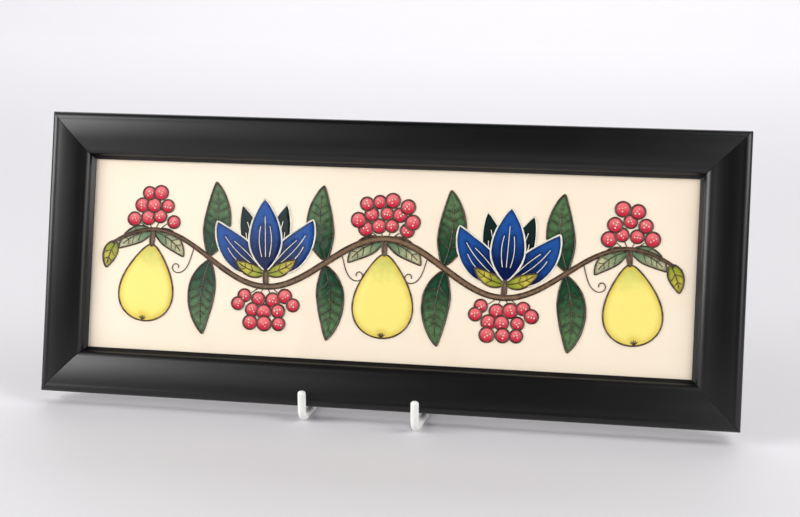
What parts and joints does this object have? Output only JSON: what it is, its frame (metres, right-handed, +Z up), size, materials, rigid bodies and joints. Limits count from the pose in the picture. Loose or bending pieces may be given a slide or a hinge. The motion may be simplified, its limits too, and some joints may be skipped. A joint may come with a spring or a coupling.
{
  "type": "framed ceramic plaque",
  "caption": "Long glazed tile with a raised fruit scroll, in a satin black cushion-moulded frame that leans back on a white wire plate stand.",
  "frame": {"origin": "on the floor, below the middle of the whole object's bounding box", "axes": "+X along the plaque to the viewer's right, +Y away from the viewer, +Z up; the plaque faces -Y and leans back"},
  "size_m": [0.346, 0.0768, 0.1434],
  "materials": {
    "glazed_tile": "gloss, cream ground with coloured glazes between raised slip lines",
    "black_lacquered_wood": "satin black lacquer",
    "backing_fibreboard": "plain brown board",
    "white_coated_wire": "smooth white plastic coating over steel wire"
  },
  "bodies": {
    "root": {"ceramic_plaque": "glazed_tile", "frame_rail_bottom": "black_lacquered_wood", "frame_rail_top": "black_lacquered_wood", "frame_rail_left": "black_lacquered_wood", "frame_rail_right": "black_lacquered_wood", "backing_board": "backing_fibreboard", "wire_plate_stand": "white_coated_wire"}
  },
  "joints": []
}
